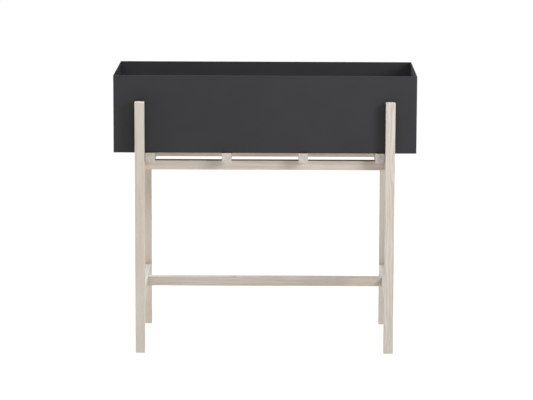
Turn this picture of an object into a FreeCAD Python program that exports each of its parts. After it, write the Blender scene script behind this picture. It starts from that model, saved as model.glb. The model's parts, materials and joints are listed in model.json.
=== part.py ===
import FreeCAD, Part
import os

# A raised planter: a folded steel box that lifts out of a stand made of square timber.
# Millimetres. +X is the long way, -Y is the front and +Z is up.
# The origin is on the floor, below the middle of the planter.

# Timber stand
stock = 30.0                # side of the square section that every timber has
eased_edge = 1.5            # radius that the timber's edges are rounded to
leg_length = 807.0
stand_width = 822.0         # over the outer faces of the legs
leg_gap_depth = 416.0       # clear depth between the front and the rear legs
upper_rail_bottom = 581.0
lower_rail_bottom = 175.0
long_rail_inset = 50.0      # from the back of the front legs to the front of the front long rail
batten_count = 4
batten_side_gap = 1.0       # between an end batten and the plane of the side rails' inner faces

# Steel planter
planter_width = 960.0
planter_depth = 400.0
planter_height = 247.0
sheet = 1.5
bend_radius = 4.0           # outer radius of the bends between the floor and the walls
sheet_round = 0.6           # radius that the rim and the welded corners are ground to
drain_diameter = 12.0
drain_row_y = 60.0          # the two rows of drain holes stand this far each side of the middle

# Dowels and screws
side_dowel_diameter = 8.0
side_dowel_spacing = 14.0
side_dowel_in_leg = 20.0
side_dowel_in_rail = 30.0
rail_dowel_diameter = 6.0
rail_dowel_length = 25.0
glue_gap = 1.0              # space left at each end of a dowel
pin_offset = 6.5            # dowel above and screw below the middle of a long member's end
frame_screw_length = 70.0
frame_screw_head_diameter = 10.0
frame_screw_head_height = 3.0
frame_screw_neck_diameter = 7.0
frame_screw_neck_length = 28.0
frame_screw_core_diameter = 5.6
frame_screw_socket = 4.0
batten_screw_length = 45.0
batten_screw_head_diameter = 8.0
batten_screw_head_height = 2.4
batten_screw_shank_diameter = 4.0
batten_screw_socket = 3.0
batten_screw_sink = 1.0     # how far the head is sunk below the batten's top
screw_tip_height = 4.0
screw_tip_diameter = 1.0

# Worked out from the above
leg_x = (stand_width - stock) / 2
leg_y = (leg_gap_depth + stock) / 2
side_rail_inner_x = stand_width / 2 - stock
long_rail_y = (leg_gap_depth - stock) / 2 - long_rail_inset
upper_rail_z = upper_rail_bottom + stock / 2
lower_rail_z = lower_rail_bottom + stock / 2
batten_z = upper_rail_z + stock
batten_top = batten_z + stock / 2
end_batten_x = side_rail_inner_x - batten_side_gap - stock / 2
batten_pitch = 2 * end_batten_x / (batten_count - 1)
batten_xs = [number * batten_pitch - end_batten_x for number in range(batten_count)]
planter_top = batten_top + planter_height
cap_x = planter_width / 2 - sheet       # inner face of the end sheets
wall_y = planter_depth / 2

CLOSE = 1e-4                # two coordinates that differ by less than this are the same
ORIGIN = FreeCAD.Vector(0, 0, 0)
X_AXIS = FreeCAD.Vector(1, 0, 0)
Y_AXIS = FreeCAD.Vector(0, 1, 0)
Z_AXIS = FreeCAD.Vector(0, 0, 1)
SIDES = {"left": -1, "right": 1}
ENDS = {"front": -1, "rear": 1}

# Middle of the end of each member that runs between the two side frames, as y and z
LONG_MEMBERS = {
    "front_long_rail": (-long_rail_y, upper_rail_z),
    "rear_long_rail": (long_rail_y, upper_rail_z),
    "lower_stretcher": (0.0, lower_rail_z),
}


def box_between(low, high):
    """A box from its lowest to its highest corner."""
    size = [top - bottom for bottom, top in zip(low, high)]
    return Part.makeBox(*size, FreeCAD.Vector(*low))


def edges_along(shape, axis):
    """The straight edges of a shape that run along an axis."""
    found = []
    for edge in shape.Edges:
        run = edge.Vertexes[-1].Point - edge.Vertexes[0].Point
        if run.Length > CLOSE and run.cross(axis).Length < CLOSE:
            found.append(edge)
    return found


def edges_at(shape, coordinate, value):
    """The edges of a shape that lie wholly in the plane where x, y or z has a value."""
    found = []
    for edge in shape.Edges:
        low = getattr(edge.BoundBox, coordinate + "Min")
        high = getattr(edge.BoundBox, coordinate + "Max")
        if abs(low - value) < CLOSE and abs(high - value) < CLOSE:
            found.append(edge)
    return found


def placed(shape, placements):
    """One copy of a shape at each placement."""
    copies = []
    for placement in placements:
        copy = shape.copy()
        copy.Placement = placement
        copies.append(copy)
    return Part.makeCompound(copies)


# Joinery


def side_dowels(end_space=0.0):
    """Dowels that join the side rails to the legs, or their holes with space at each end."""
    length = side_dowel_in_leg + side_dowel_in_rail + 2 * end_space
    found = []
    for side in SIDES.values():
        for end in ENDS.values():
            start_y = end * (leg_gap_depth / 2 - side_dowel_in_rail - end_space)
            for rail_z in (upper_rail_z, lower_rail_z):
                for offset in (-side_dowel_spacing / 2, side_dowel_spacing / 2):
                    start = FreeCAD.Vector(side * leg_x, start_y, rail_z + offset)
                    radius = side_dowel_diameter / 2
                    found.append(Part.makeCylinder(radius, length, start, Y_AXIS * end))
    return Part.makeCompound(found)


def rail_dowels(end_space=0.0):
    """Dowels that stop the long members turning on their screws, or the holes for them."""
    length = rail_dowel_length + 2 * end_space
    found = []
    for side in SIDES.values():
        start_x = side * (side_rail_inner_x - length / 2)
        for member_y, member_z in LONG_MEMBERS.values():
            start = FreeCAD.Vector(start_x, member_y, member_z + pin_offset)
            radius = rail_dowel_diameter / 2
            found.append(Part.makeCylinder(radius, length, start, X_AXIS * side))
    return Part.makeCompound(found)


def screw_blank(head_diameter, head_height, stretches):
    """A countersunk screw with no socket, its head's top at the origin and its tip down.

    stretches lists the diameter and the depth of the lower end of each plain stretch.
    """
    outline = [(0, 0), (head_diameter / 2, 0)]
    depth = head_height
    for diameter, lower_end in stretches:
        outline.append((diameter / 2, -depth))
        outline.append((diameter / 2, -lower_end))
        depth = lower_end
    outline.append((screw_tip_diameter / 2, -depth - screw_tip_height))
    outline.append((0, -depth - screw_tip_height))
    points = [FreeCAD.Vector(x, 0, z) for x, z in outline + outline[:1]]
    return Part.Face(Part.makePolygon(points)).revolve(ORIGIN, Z_AXIS, 360)


def socket_prism(across_flats, depth):
    """The hexagonal socket of a screw whose head's top is at the origin."""
    corner_radius = across_flats / 3 ** 0.5
    corners = []
    for number in range(6):
        turn = FreeCAD.Rotation(Z_AXIS, 60 * number)
        corners.append(turn.multVec(FreeCAD.Vector(corner_radius, 0, -depth)))
    hexagon = Part.Face(Part.makePolygon(corners + corners[:1]))
    return hexagon.extrude(Z_AXIS * depth)


def frame_screw_blank():
    neck_end = frame_screw_head_height + frame_screw_neck_length
    core_end = frame_screw_length - screw_tip_height
    stretches = [(frame_screw_neck_diameter, neck_end), (frame_screw_core_diameter, core_end)]
    return screw_blank(frame_screw_head_diameter, frame_screw_head_height, stretches)


def frame_screw_places():
    """Heads flush with the outer faces of the side rails, tips in the long members' ends."""
    places = []
    for side in SIDES.values():
        for member_y, member_z in LONG_MEMBERS.values():
            head = FreeCAD.Vector(side * stand_width / 2, member_y, member_z - pin_offset)
            places.append(FreeCAD.Placement(head, FreeCAD.Rotation(Y_AXIS, 90 * side)))
    return places


def batten_screw_blank():
    stretches = [(batten_screw_shank_diameter, batten_screw_length - screw_tip_height)]
    return screw_blank(batten_screw_head_diameter, batten_screw_head_height, stretches)


def batten_screw_places():
    """Heads just below the tops of the battens, tips in the long rails under them."""
    places = []
    for batten_x in batten_xs:
        for end in ENDS.values():
            head = FreeCAD.Vector(batten_x, end * long_rail_y, batten_top - batten_screw_sink)
            places.append(FreeCAD.Placement(head, FreeCAD.Rotation()))
    return places


def frame_screws():
    places = frame_screw_places()
    sockets = placed(socket_prism(frame_screw_socket, frame_screw_head_height), places)
    return placed(frame_screw_blank(), places).cut(sockets)


def batten_screws():
    places = batten_screw_places()
    sockets = placed(socket_prism(batten_screw_socket, batten_screw_head_height), places)
    return placed(batten_screw_blank(), places).cut(sockets)


def batten_screw_sinkings():
    """The short bores above the batten screws' heads."""
    bore = Part.makeCylinder(batten_screw_head_diameter / 2, batten_screw_sink)
    return placed(bore, batten_screw_places())


def joinery_holes():
    """Everything that is drilled out of the timbers."""
    return [
        side_dowels(glue_gap),
        rail_dowels(glue_gap),
        placed(frame_screw_blank(), frame_screw_places()),
        placed(batten_screw_blank(), batten_screw_places()),
        batten_screw_sinkings(),
    ]


# Timbers


def timber(centre, size, ends_are_free):
    """A timber with its long edges eased, and its end edges too where the ends are free."""
    low = [middle - length / 2 for middle, length in zip(centre, size)]
    high = [middle + length / 2 for middle, length in zip(centre, size)]
    bar = box_between(low, high)
    grain = (X_AXIS, Y_AXIS, Z_AXIS)[size.index(max(size))]
    edges = bar.Edges if ends_are_free else edges_along(bar, grain)
    return bar.makeFillet(eased_edge, edges)


def leg(side, end):
    centre = (side * leg_x, end * leg_y, leg_length / 2)
    return timber(centre, (stock, stock, leg_length), True)


def side_rail(side, rail_z):
    return timber((side * leg_x, 0.0, rail_z), (stock, leg_gap_depth, stock), False)


def long_member(member_y, member_z):
    return timber((0.0, member_y, member_z), (2 * side_rail_inner_x, stock, stock), False)


def batten(batten_x):
    return timber((batten_x, 0.0, batten_z), (stock, leg_gap_depth, stock), True)


def timbers():
    """Every timber of the stand by name, drilled for its dowels and screws."""
    found = {}
    for side_name, side in SIDES.items():
        for end_name, end in ENDS.items():
            found["leg_" + end_name + "_" + side_name] = leg(side, end)
        found["upper_side_rail_" + side_name] = side_rail(side, upper_rail_z)
        found["lower_side_rail_" + side_name] = side_rail(side, lower_rail_z)
    for name, (member_y, member_z) in LONG_MEMBERS.items():
        found[name] = long_member(member_y, member_z)
    for number, batten_x in enumerate(batten_xs, start=1):
        found["batten_" + str(number)] = batten(batten_x)
    holes = joinery_holes()
    return {name: shape.cut(holes) for name, shape in found.items()}


# Planter


def trough(half_width, half_depth, floor_z, corner_radius):
    """A block up to the planter's rim with its two long bottom edges rounded."""
    low = (-half_width, -half_depth, floor_z)
    block = box_between(low, (half_width, half_depth, planter_top))
    bottom_edges = [edge for edge in edges_at(block, "Z", floor_z) if edge.Length > half_width]
    return block.makeFillet(corner_radius, bottom_edges)


def drain_holes():
    """Two rows of holes in the floor, clear of the battens below it."""
    found = []
    for left_x, right_x in zip(batten_xs, batten_xs[1:]):
        for end in ENDS.values():
            middle = FreeCAD.Vector((left_x + right_x) / 2, end * drain_row_y, batten_top)
            found.append(Part.makeCylinder(drain_diameter / 2, sheet, middle))
    return found


def planter_shell():
    """Front, floor and back folded from one sheet, open at both ends."""
    outside = trough(cap_x, wall_y, batten_top, bend_radius)
    inside = trough(cap_x, wall_y - sheet, batten_top + sheet, bend_radius - sheet)
    shell = outside.cut(inside)
    rim_edges = [edge for edge in edges_at(shell, "Z", planter_top) if edge.Length > cap_x]
    return shell.makeFillet(sheet_round, rim_edges).cut(drain_holes())


def planter_end(side):
    """One end sheet, which closes the folded sheet and is as high as its rim."""
    outer_x = side * planter_width / 2
    faces = sorted((side * cap_x, outer_x))
    plate = box_between((faces[0], -wall_y, batten_top), (faces[1], wall_y, planter_top))
    below_rim = planter_top - sheet
    bottom_corners = [edge for edge in edges_along(plate, X_AXIS) if edge.BoundBox.ZMax < below_rim]
    plate = plate.makeFillet(bend_radius, bottom_corners)
    outer_edges = [edge for edge in edges_at(plate, "X", outer_x) if edge.BoundBox.ZMin < below_rim]
    return plate.makeFillet(sheet_round, edges_at(plate, "Z", planter_top) + outer_edges)


def parts():
    found = timbers()
    found["side_rail_dowels"] = side_dowels()
    found["long_member_dowels"] = rail_dowels()
    found["frame_screws"] = frame_screws()
    found["batten_screws"] = batten_screws()
    found["planter_shell"] = planter_shell()
    for side_name, side in SIDES.items():
        found["planter_end_" + side_name] = planter_end(side)
    return found


os.makedirs("parts", exist_ok=True)
for node, shape in parts().items():
    shape.exportStep("parts/" + node + ".step")
    print(node, len(shape.Solids), "solids", round(shape.Volume / 1000, 1), "cm3", shape.isValid())
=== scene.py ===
import json
import random
from math import radians

import bpy
from mathutils import Euler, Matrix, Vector


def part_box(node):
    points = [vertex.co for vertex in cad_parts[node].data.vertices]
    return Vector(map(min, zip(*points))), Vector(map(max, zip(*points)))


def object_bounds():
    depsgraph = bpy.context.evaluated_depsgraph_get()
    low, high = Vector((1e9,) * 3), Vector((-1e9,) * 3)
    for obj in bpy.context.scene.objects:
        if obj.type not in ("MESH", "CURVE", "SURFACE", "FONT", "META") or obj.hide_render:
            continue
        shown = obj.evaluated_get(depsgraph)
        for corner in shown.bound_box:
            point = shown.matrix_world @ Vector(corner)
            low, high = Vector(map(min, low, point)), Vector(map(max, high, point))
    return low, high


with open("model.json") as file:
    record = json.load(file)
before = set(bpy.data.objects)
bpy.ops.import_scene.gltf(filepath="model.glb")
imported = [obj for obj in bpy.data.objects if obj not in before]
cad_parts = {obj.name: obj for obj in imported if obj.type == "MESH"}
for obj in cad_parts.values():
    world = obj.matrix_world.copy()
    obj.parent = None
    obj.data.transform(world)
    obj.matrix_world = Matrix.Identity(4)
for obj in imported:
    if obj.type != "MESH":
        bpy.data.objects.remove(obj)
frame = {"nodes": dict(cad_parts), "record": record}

# A raised planter: a dark powder-coated steel box in a stand of limed ash.
# The shapes come from the frame; this script gives them their finishes, light and camera.

cad_low, cad_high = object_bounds()

MILLIMETRES = 1000.0        # object coordinates times this are in millimetres
AXES = "XYZ"
WHITE = (1.0, 1.0, 1.0, 1.0)

# Sockets of a Mix node that mixes colours
MIX_FACTOR, MIX_FIRST, MIX_SECOND = 0, 6, 7
MIX_RESULT = 2


# Node helpers


def add(tree, kind, inputs=None, **settings):
    """A new shader node; each input is given a value or another node's output."""
    node = tree.nodes.new(kind)
    for name, value in settings.items():
        setattr(node, name, value)
    for socket, value in (inputs or {}).items():
        if isinstance(value, bpy.types.NodeSocket):
            tree.links.new(value, node.inputs[socket])
        else:
            node.inputs[socket].default_value = value
    return node


def calculate(tree, operation, *values):
    """The result of one Math node."""
    node = add(tree, "ShaderNodeMath", dict(enumerate(values)), operation=operation)
    return node.outputs[0]


def smooth_step(tree, value, start, end):
    """Zero below start, one above end, and smooth between them."""
    inputs = {"Value": value, "From Min": start, "From Max": end}
    node = add(tree, "ShaderNodeMapRange", inputs, interpolation_type="SMOOTHSTEP")
    return node.outputs["Result"]


def spread(tree, value, low, high):
    """A value between 0 and 1 spread between low and high."""
    node = add(tree, "ShaderNodeMapRange", {"Value": value, "To Min": low, "To Max": high})
    return node.outputs["Result"]


def noise(tree, vector, scales, detail=2.0, roughness=0.5, offset=(0, 0, 0)):
    """Noise whose features are one over scales millimetres long each way."""
    inputs = {"Vector": vector, "Scale": scales, "Location": offset}
    place = add(tree, "ShaderNodeMapping", inputs).outputs[0]
    inputs = {"Vector": place, "Scale": 1.0, "Detail": detail, "Roughness": roughness}
    return add(tree, "ShaderNodeTexNoise", inputs).outputs["Fac"]


def mix_colour(tree, amount, first, second, blend="MIX"):
    inputs = {MIX_FACTOR: amount, MIX_FIRST: first, MIX_SECOND: second}
    node = add(tree, "ShaderNodeMix", inputs, data_type="RGBA", blend_type=blend)
    return node.outputs[MIX_RESULT]


def tinted(tree, colour, tint, amount=1.0):
    """A colour multiplied by a tint where amount is one, and left as it is where it is zero."""
    return mix_colour(tree, amount, colour, tint, "MULTIPLY")


def colour_ramp(tree, value, stops):
    """The colour that a value has on a ramp of (position, colour) stops."""
    ramp = add(tree, "ShaderNodeValToRGB", {"Fac": value})
    elements = ramp.color_ramp.elements
    while len(elements) < len(stops):
        elements.new(1.0)
    for element, (position, colour) in zip(elements, stops):
        element.position = position
        element.color = colour
    return ramp.outputs["Color"]


def bump(tree, height, relief, under=None):
    """The surface's normal with a relief, given as its full height in metres and its strength."""
    distance, strength = relief
    inputs = {"Height": height, "Distance": distance, "Strength": strength}
    if under is not None:
        inputs["Normal"] = under
    return add(tree, "ShaderNodeBump", inputs).outputs["Normal"]


def surface_place(tree):
    """Position on the object in millimetres."""
    position = add(tree, "ShaderNodeTexCoord").outputs["Object"]
    inputs = {0: position, "Scale": MILLIMETRES}
    return add(tree, "ShaderNodeVectorMath", inputs, operation="SCALE").outputs[0]


def new_material(name):
    """A new material, its node tree and its Principled shader."""
    material = bpy.data.materials.new(name)
    material.use_nodes = True
    return material, material.node_tree, material.node_tree.nodes["Principled BSDF"]


def grey(value):
    return (value, value, value, 1.0)


# Limed ash

ASH_LATE = (0.597, 0.522, 0.438, 1.0)
ASH_EARLY = (0.497, 0.412, 0.327, 1.0)
ASH_PORE = (0.363, 0.295, 0.218, 1.0)
LIME_WHITE = (0.702, 0.668, 0.621, 1.0)
STREAK_TINTS = ((0.85, 0.76, 0.66, 1.0), (0.99, 0.98, 0.96, 1.0), (1.08, 1.11, 1.15, 1.0))
END_TINT = (0.95, 0.97, 1.00, 1.0)
EDGE_TINT = (0.95, 0.93, 0.90, 1.0)
LEG_STREAKS = 0.55          # how strong the streaks are in the legs, of plainer timber
RAIL_STREAKS = 1.0

# Where on its ramp each colour sits
RING_STOPS = [
    (0.0, ASH_EARLY), (0.30, ASH_EARLY), (0.55, ASH_LATE), (0.95, ASH_LATE), (1.0, ASH_EARLY),
]
STREAK_STOPS = list(zip((0.36, 0.50, 0.64), STREAK_TINTS))
DAPPLE_STOPS = [(0.35, grey(0.84)), (0.65, grey(1.12))]

# Where each mask or measure starts and ends
EARLY_WOOD_ENDS = (0.25, 0.6)           # of the growth ring
PORE_NOISE = (0.56, 0.64)
PORE_SHARES = (0.25, 1.0)               # of the pores that show in late and in early wood
LIME_SHARES = (0.10, 0.62)              # of white in the least and in the most limed places
EDGE_PLACES = (0.86, 0.96)              # product of both distances from the middle, one at the edge
END_SLOPES = (0.6, 0.9)                 # how far the surface faces along the grain
ASH_ROUGHNESS = (0.39, 0.51)

PORE_DARKENING = 0.6
PORE_ROUGHNESS = 0.12
ASH_SPECULAR = 0.6

# Full height in metres and strength of each relief
PORE_RELIEF = (-0.00018, 0.5)
FIBRE_RELIEF = (0.00008, 0.5)
RING_RELIEF = (0.00006, 0.4)

# Features per millimetre across the grain, across it the other way and along it
RING_WANDER_SCALES = (0.02, 0.02, 0.004)
VESSEL_SCALES = (1.9, 1.9, 0.05)
STREAK_SCALES = (0.11, 0.11, 0.0035)
HAZE_SCALES = (0.03, 0.03, 0.008)
DAPPLE_SCALES = (0.30, 0.30, 0.30)
FIBRE_SCALES = (3.5, 3.5, 0.12)

# Ranges that each timber's own values come from, in millimetres
PITH_DISTANCES = (25, 90)
RING_WIDTHS = (2.6, 4.2)
RING_LEAN = 0.02            # most that the rings drift sideways per millimetre along the grain
RING_WANDER = 14.0
NOISE_START = 99            # noise starts at a point between zero and this along each axis

# The tint of each timber that differs from the rest: partly its own tone and partly painted light
# and shade, as each one's brightness was fitted to how lit or shaded it looks; the rear long rail's
# warm tint is painted bounced light from under the box.
TIMBER_TONE_AND_PAINTED_LIGHT = {
    "leg_front_left": (1.00, 1.01, 1.00, 1.0),
    "leg_front_right": (0.955, 0.975, 0.99, 1.0),
    "leg_rear_left": (1.06, 1.04, 1.02, 1.0),
    "leg_rear_right": (0.90, 0.89, 0.88, 1.0),
    "lower_stretcher": (0.905, 0.90, 0.895, 1.0),
    "upper_side_rail_left": (1.12, 1.06, 0.96, 1.0),
    "upper_side_rail_right": (1.02, 0.95, 0.86, 1.0),
    "lower_side_rail_left": (0.86, 0.91, 0.95, 1.0),
    "lower_side_rail_right": (0.99, 1.04, 1.08, 1.0),
    "batten_1": (0.91, 0.89, 0.87, 1.0),
    "batten_2": (0.97, 0.98, 0.99, 1.0),
    "batten_3": (0.94, 0.94, 0.95, 1.0),
    "batten_4": (0.90, 0.88, 0.87, 1.0),
    "front_long_rail": (1.02, 1.02, 1.01, 1.0),
    "rear_long_rail": (1.05, 0.98, 0.90, 1.0),
}


def grain_space(tree, centre, grain_axis):
    """Position in millimetres from a timber's middle, with the grain along the third axis."""
    centre_place = tuple(MILLIMETRES * coordinate for coordinate in centre)
    inputs = {0: surface_place(tree), 1: centre_place}
    centred = add(tree, "ShaderNodeVectorMath", inputs, operation="SUBTRACT").outputs[0]
    parts = add(tree, "ShaderNodeSeparateXYZ", {"Vector": centred}).outputs
    order = [axis for axis in AXES if axis != grain_axis] + [grain_axis]
    inputs = {target: parts[source] for target, source in zip(AXES, order)}
    return add(tree, "ShaderNodeCombineXYZ", inputs).outputs[0]


def noise_start(chance):
    return tuple(chance.uniform(0, NOISE_START) for _ in AXES)


def growth_rings(tree, place, chance):
    """How far through its growth ring each point is, from 0 at the start of spring."""
    pith_x = chance.choice((-1, 1)) * chance.uniform(*PITH_DISTANCES)
    pith_y = chance.choice((-1, 1)) * chance.uniform(*PITH_DISTANCES)
    lean = chance.uniform(-RING_LEAN, RING_LEAN)
    ring_width = chance.uniform(*RING_WIDTHS)
    parts = add(tree, "ShaderNodeSeparateXYZ", {"Vector": place}).outputs
    drift = calculate(tree, "MULTIPLY", parts["Z"], lean)
    across = calculate(tree, "ADD", calculate(tree, "SUBTRACT", parts["X"], pith_x), drift)
    through = calculate(tree, "SUBTRACT", parts["Y"], pith_y)
    across_squared = calculate(tree, "POWER", across, 2.0)
    through_squared = calculate(tree, "POWER", through, 2.0)
    radius = calculate(tree, "SQRT", calculate(tree, "ADD", across_squared, through_squared))
    wander = noise(tree, place, RING_WANDER_SCALES, detail=3.0, offset=noise_start(chance))
    radius = calculate(tree, "ADD", radius, calculate(tree, "MULTIPLY", wander, RING_WANDER))
    return calculate(tree, "FRACT", calculate(tree, "DIVIDE", radius, ring_width))


def edge_mask(tree, place, half_section):
    """One along the four long edges of a timber, zero on its faces."""
    parts = add(tree, "ShaderNodeSeparateXYZ", {"Vector": place}).outputs
    area = calculate(tree, "ABSOLUTE", calculate(tree, "MULTIPLY", parts["X"], parts["Y"]))
    share = calculate(tree, "DIVIDE", area, half_section ** 2)
    return smooth_step(tree, share, *EDGE_PLACES)


def end_mask(tree, grain_axis):
    """One on end grain, zero on the long faces."""
    normal = add(tree, "ShaderNodeTexCoord").outputs["Normal"]
    parts = add(tree, "ShaderNodeSeparateXYZ", {"Vector": normal}).outputs
    return smooth_step(tree, calculate(tree, "ABSOLUTE", parts[grain_axis]), *END_SLOPES)


def open_pores(tree, place, ring, start):
    """One in the open vessels, which are most frequent in spring wood, and zero elsewhere."""
    early = calculate(tree, "SUBTRACT", 1.0, smooth_step(tree, ring, *EARLY_WOOD_ENDS))
    noise_value = noise(tree, place, VESSEL_SCALES, detail=1.0, offset=start)
    vessels = smooth_step(tree, noise_value, *PORE_NOISE)
    return calculate(tree, "MULTIPLY", vessels, spread(tree, early, *PORE_SHARES))


def limed_ash(node_name):
    """The finish of one timber, with growth rings and figure of its own."""
    low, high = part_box(node_name)
    size = high - low
    grain_axis = AXES[max(range(3), key=lambda index: size[index])]
    half_section = min(size) * MILLIMETRES / 2
    chance = random.Random(node_name)
    material, tree, surface = new_material("limed_ash_" + node_name)
    place = grain_space(tree, (low + high) / 2, grain_axis)
    start = noise_start(chance)
    ring = growth_rings(tree, place, chance)
    pores = open_pores(tree, place, ring, start)

    colour = colour_ramp(tree, ring, RING_STOPS)
    pore_amount = calculate(tree, "MULTIPLY", pores, PORE_DARKENING)
    colour = mix_colour(tree, pore_amount, colour, ASH_PORE)
    streaks = noise(tree, place, STREAK_SCALES, detail=3.0, offset=start)
    streak_strength = LEG_STREAKS if grain_axis == "Z" else RAIL_STREAKS
    colour = tinted(tree, colour, colour_ramp(tree, streaks, STREAK_STOPS), streak_strength)
    haze = noise(tree, place, HAZE_SCALES, detail=4.0, roughness=0.6, offset=start[::-1])
    colour = mix_colour(tree, spread(tree, haze, *LIME_SHARES), colour, LIME_WHITE)
    dapple = noise(tree, place, DAPPLE_SCALES, detail=3.0, roughness=0.6, offset=start)
    end_tint = tinted(tree, colour_ramp(tree, dapple, DAPPLE_STOPS), END_TINT)
    colour = tinted(tree, colour, end_tint, end_mask(tree, grain_axis))
    colour = tinted(tree, colour, EDGE_TINT, edge_mask(tree, place, half_section))
    # Each timber's own tone, with painted light and shade in it
    colour = tinted(tree, colour, TIMBER_TONE_AND_PAINTED_LIGHT.get(node_name, WHITE))
    tree.links.new(colour, surface.inputs["Base Color"])

    pore_roughness = calculate(tree, "MULTIPLY", pores, PORE_ROUGHNESS)
    roughness = calculate(tree, "ADD", spread(tree, haze, *ASH_ROUGHNESS), pore_roughness)
    tree.links.new(roughness, surface.inputs["Roughness"])
    surface.inputs["Specular IOR Level"].default_value = ASH_SPECULAR

    fibres = noise(tree, place, FIBRE_SCALES, detail=2.0, offset=start)
    relief = bump(tree, pores, PORE_RELIEF)
    relief = bump(tree, fibres, FIBRE_RELIEF, relief)
    relief = bump(tree, ring, RING_RELIEF, relief)
    tree.links.new(relief, surface.inputs["Normal"])
    return material


# Powder-coated steel

COAT_DARK = (0.0312, 0.0312, 0.0333, 1.0)
COAT_LIGHT = (0.0426, 0.0426, 0.0451, 1.0)
COAT_RUBBED = (0.0570, 0.0565, 0.0560, 1.0)
COAT_GRAIN_STOPS = [(0.35, grey(0.80)), (0.65, grey(1.15))]
RIM_RUB_START = 1.6         # millimetres below the top of the rim where the rubbing starts
RIM_RUB_FULL = 0.2
RIM_RUB_NOISE = (0.40, 0.75)
COAT_ROUGHNESS = (0.50, 0.64)
COAT_GRAIN_ROUGHNESS = 0.06
COAT_SPECULAR = 0.16
COAT_PEEL_RELIEF = (0.00010, 0.4)
COAT_GRAIN_RELIEF = (0.00006, 0.6)

# Features per millimetre
COAT_CLOUD_SCALES = (0.006, 0.006, 0.006)
COAT_GRAIN_SCALES = (1.4, 1.4, 1.4)
COAT_SCUFF_SCALES = (0.05, 0.05, 0.6)
COAT_SMEAR_SCALES = (0.012, 0.012, 0.012)
COAT_SMEAR_START = (40, 10, 5)
COAT_PEEL_SCALES = (0.22, 0.22, 0.22)


def rubbed_rim(tree, place):
    """One in patches along the top of the planter's rim and zero elsewhere."""
    height = add(tree, "ShaderNodeSeparateXYZ", {"Vector": place}).outputs["Z"]
    rim_top = cad_high.z * MILLIMETRES
    rim = smooth_step(tree, height, rim_top - RIM_RUB_START, rim_top - RIM_RUB_FULL)
    scuffs = noise(tree, place, COAT_SCUFF_SCALES, detail=5.0, roughness=0.7)
    return calculate(tree, "MULTIPLY", rim, smooth_step(tree, scuffs, *RIM_RUB_NOISE))


def powder_coat():
    """Matt charcoal coat with a fine texture, a little rubbed along the rim."""
    material, tree, surface = new_material("powder_coat")
    place = surface_place(tree)
    clouds = noise(tree, place, COAT_CLOUD_SCALES, detail=4.0, roughness=0.6)
    grains = noise(tree, place, COAT_GRAIN_SCALES, detail=2.0, roughness=0.6)
    colour = mix_colour(tree, clouds, COAT_DARK, COAT_LIGHT)
    colour = tinted(tree, colour, colour_ramp(tree, grains, COAT_GRAIN_STOPS))
    colour = mix_colour(tree, rubbed_rim(tree, place), colour, COAT_RUBBED)
    tree.links.new(colour, surface.inputs["Base Color"])

    smears = noise(tree, place, COAT_SMEAR_SCALES, detail=3.0, offset=COAT_SMEAR_START)
    grain_roughness = calculate(tree, "MULTIPLY", grains, COAT_GRAIN_ROUGHNESS)
    roughness = calculate(tree, "ADD", spread(tree, smears, *COAT_ROUGHNESS), grain_roughness)
    tree.links.new(roughness, surface.inputs["Roughness"])
    surface.inputs["Specular IOR Level"].default_value = COAT_SPECULAR

    peel = noise(tree, place, COAT_PEEL_SCALES, detail=2.0)
    relief = bump(tree, peel, COAT_PEEL_RELIEF)
    relief = bump(tree, grains, COAT_GRAIN_RELIEF, relief)
    tree.links.new(relief, surface.inputs["Normal"])
    return material


# Hardware

BEECH_LIGHT = (0.610, 0.440, 0.280, 1.0)
BEECH_DARK = (0.480, 0.320, 0.190, 1.0)
BEECH_FLECK_SCALES = (2.5, 2.5, 0.4)
BEECH_BAND_SCALES = (0.5, 0.5, 0.02)
BEECH_BAND_START = (7, 3, 11)
BEECH_FLECK_NOISE = (0.6, 0.7)
BEECH_FLECK_DARKENING = 0.6
BEECH_ROUGHNESS = (0.55, 0.75)
BEECH_RELIEF = (0.00005, 0.5)
ZINC_LIGHT = (0.680, 0.680, 0.660, 1.0)
ZINC_DARK = (0.520, 0.525, 0.530, 1.0)
ZINC_MOTTLE_SCALES = (0.8, 0.8, 0.8)
ZINC_MARK_SCALES = (8.0, 8.0, 8.0)
ZINC_ROUGHNESS = (0.25, 0.45)
ZINC_MARK_RELIEF = (0.00002, 0.6)


def beech(grain_axis):
    """Raw dowel beech with short dark flecks along the grain."""
    material, tree, surface = new_material("beech_along_" + grain_axis.lower())
    place = grain_space(tree, (0, 0, 0), grain_axis)
    flecks = noise(tree, place, BEECH_FLECK_SCALES, detail=3.0)
    bands = noise(tree, place, BEECH_BAND_SCALES, detail=2.0, offset=BEECH_BAND_START)
    colour = mix_colour(tree, bands, BEECH_DARK, BEECH_LIGHT)
    fleck_mask = smooth_step(tree, flecks, *BEECH_FLECK_NOISE)
    fleck_amount = calculate(tree, "MULTIPLY", fleck_mask, BEECH_FLECK_DARKENING)
    colour = mix_colour(tree, fleck_amount, colour, BEECH_DARK)
    tree.links.new(colour, surface.inputs["Base Color"])
    tree.links.new(spread(tree, flecks, *BEECH_ROUGHNESS), surface.inputs["Roughness"])
    tree.links.new(bump(tree, flecks, BEECH_RELIEF), surface.inputs["Normal"])
    return material


def zinc():
    """Bright zinc plating with a faint mottle and fine tool marks."""
    material, tree, surface = new_material("zinc")
    place = surface_place(tree)
    mottle = noise(tree, place, ZINC_MOTTLE_SCALES, detail=4.0, roughness=0.6)
    marks = noise(tree, place, ZINC_MARK_SCALES, detail=1.0)
    tree.links.new(mix_colour(tree, mottle, ZINC_DARK, ZINC_LIGHT), surface.inputs["Base Color"])
    tree.links.new(spread(tree, mottle, *ZINC_ROUGHNESS), surface.inputs["Roughness"])
    tree.links.new(bump(tree, marks, ZINC_MARK_RELIEF), surface.inputs["Normal"])
    surface.inputs["Metallic"].default_value = 1.0
    return material


def dress(node_name, material):
    """Puts one material on all of a CAD node."""
    mesh = frame["nodes"][node_name].data
    mesh.materials.clear()
    mesh.materials.append(material)


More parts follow.
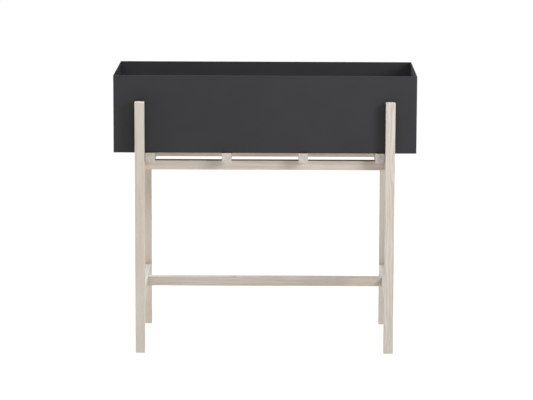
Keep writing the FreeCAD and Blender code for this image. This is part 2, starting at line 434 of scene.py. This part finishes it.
def dress_everything():
    """Gives every node the finish of its slot; each timber gets one of its own."""
    coat = powder_coat()
    plating = zinc()
    finishes = {
        "powder_coat": lambda name: coat,
        "screw_steel": lambda name: plating,
        "limed_ash": limed_ash,
        "dowel_beech": lambda name: beech("Y" if name == "side_rail_dowels" else "X"),
    }
    for subpart in frame["record"]["subparts"]:
        name = subpart["node"]
        dress(name, finishes[subpart["material_slot"]](name))


# Studio

FLOOR_HALF_SIZE = 40.0
FLOOR_GAP = 0.0002          # between the floor and the feet, so that they don't share a plane
FLOOR_GLOW = 1.0            # light that the floor gives off by itself
FLOOR_WHITE = 0.10
FLOOR_ROUGHNESS = 0.9
SKY_STRENGTH = 0.2
SOFTBOX_DISTANCE = 3.0      # from the middle of the object
# Each square softbox: width in metres, power in watts, and the way to it in degrees,
# first round from the front to the right, then up
SOFTBOXES = {
    "key": (0.85, 37.5, 45, 24),
    "front": (1.8, 26.0, 0, 65),
    "right": (1.8, 27.0, 90, 65),
    "left": (1.8, 77.0, -90, 58),
    "back": (1.8, 50.0, 193, 35),
}


def make_floor():
    mesh = bpy.data.meshes.new("studio_floor")
    signs = ((-1, -1), (1, -1), (1, 1), (-1, 1))
    corners = [(x * FLOOR_HALF_SIZE, y * FLOOR_HALF_SIZE, 0) for x, y in signs]
    mesh.from_pydata(corners, [], [(0, 1, 2, 3)])
    floor = bpy.data.objects.new("studio_floor", mesh)
    floor.location.z = cad_low.z - FLOOR_GAP
    bpy.context.scene.collection.objects.link(floor)
    material, tree, surface = new_material("studio_floor")
    surface.inputs["Base Color"].default_value = grey(FLOOR_WHITE)
    surface.inputs["Roughness"].default_value = FLOOR_ROUGHNESS
    surface.inputs["Specular IOR Level"].default_value = 0.0
    surface.inputs["Emission Color"].default_value = WHITE
    surface.inputs["Emission Strength"].default_value = FLOOR_GLOW
    mesh.materials.append(material)


def make_sky():
    world = bpy.data.worlds.new("studio_white")
    world.use_nodes = True
    background = world.node_tree.nodes["Background"]
    background.inputs["Color"].default_value = WHITE
    background.inputs["Strength"].default_value = SKY_STRENGTH
    bpy.context.scene.world = world


def make_softbox(name, width, power, round_right, up):
    """A square lamp that faces the middle of the object and doesn't show itself."""
    light = bpy.data.lights.new(name, "AREA")
    light.shape = "SQUARE"
    light.size = width
    light.energy = power
    lamp = bpy.data.objects.new(name, light)
    turn = Euler((radians(-up), 0, radians(round_right))).to_matrix()
    way = turn @ Vector((0, -SOFTBOX_DISTANCE, 0))
    lamp.location = (cad_low + cad_high) / 2 + way
    lamp.rotation_euler = (-way).to_track_quat("-Z", "Y").to_euler()
    lamp.visible_camera = False
    bpy.context.scene.collection.objects.link(lamp)


# Camera

CAMERA_PLACE = Vector((0.0539, -8.424, 1.860))
CAMERA_HEADING = radians(0.337)         # turned to the left of straight ahead
CAMERA_DOWN = radians(9.452)
CAMERA_ROLL = radians(0.192)
CAMERA_LENS = 177.1
CAMERA_SENSOR = 36.0


def make_camera():
    data = bpy.data.cameras.new("camera")
    data.sensor_width = CAMERA_SENSOR
    data.lens = CAMERA_LENS
    data.clip_end = 3 * FLOOR_HALF_SIZE
    camera = bpy.data.objects.new("camera", data)
    heading = Euler((0, 0, CAMERA_HEADING)).to_matrix()
    tilt = Euler((radians(90) - CAMERA_DOWN, 0, 0)).to_matrix()
    roll = Euler((0, 0, CAMERA_ROLL)).to_matrix()
    camera.matrix_world = (heading @ tilt @ roll).to_4x4()
    camera.location = CAMERA_PLACE
    bpy.context.scene.collection.objects.link(camera)
    bpy.context.scene.camera = camera


make_camera()
dress_everything()
make_floor()
make_sky()
for softbox_name, settings in SOFTBOXES.items():
    make_softbox(softbox_name, *settings)
bpy.context.scene.view_settings.view_transform = "Standard"
